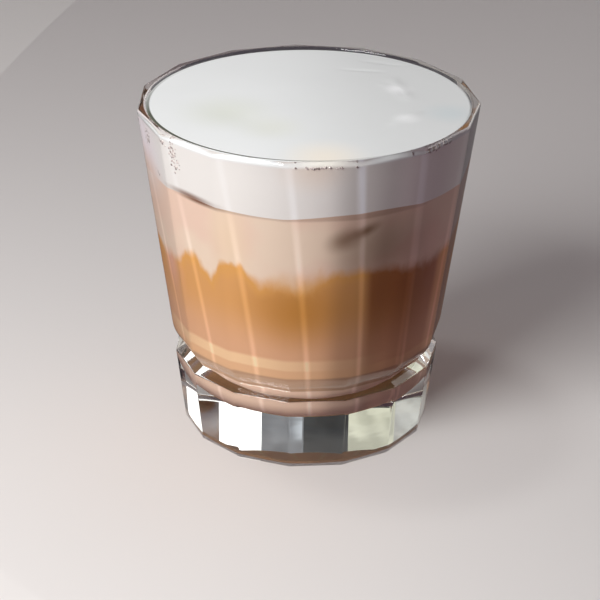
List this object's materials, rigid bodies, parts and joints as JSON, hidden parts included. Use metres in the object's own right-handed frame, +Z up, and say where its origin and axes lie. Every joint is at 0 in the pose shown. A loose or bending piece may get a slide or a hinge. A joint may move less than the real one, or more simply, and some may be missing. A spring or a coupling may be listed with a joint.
{
  "type": "iced cappuccino in a glass",
  "caption": "Iced cappuccino with coffee, milk and thick white foam layers, filled to the rim of a clear faceted tumbler with a heavy foot.",
  "frame": {"origin": "centre of the foot, on the plane that the glass stands on", "axes": "+Z up along the axis of the glass, -Y towards the side the picture shows, +X to the picture's right"},
  "size_m": [0.093, 0.0932, 0.0955],
  "materials": {
    "clear_glass": "clear, polished, pressed",
    "milky_coffee": "opaque liquid, wet",
    "coffee_milk": "opaque liquid, wet",
    "milk_foam": "fine dense foam, satin"
  },
  "bodies": {
    "root": {"glass": "clear_glass", "coffee_layer": "milky_coffee", "milk_layer": "coffee_milk", "milk_foam": "milk_foam"}
  },
  "joints": []
}
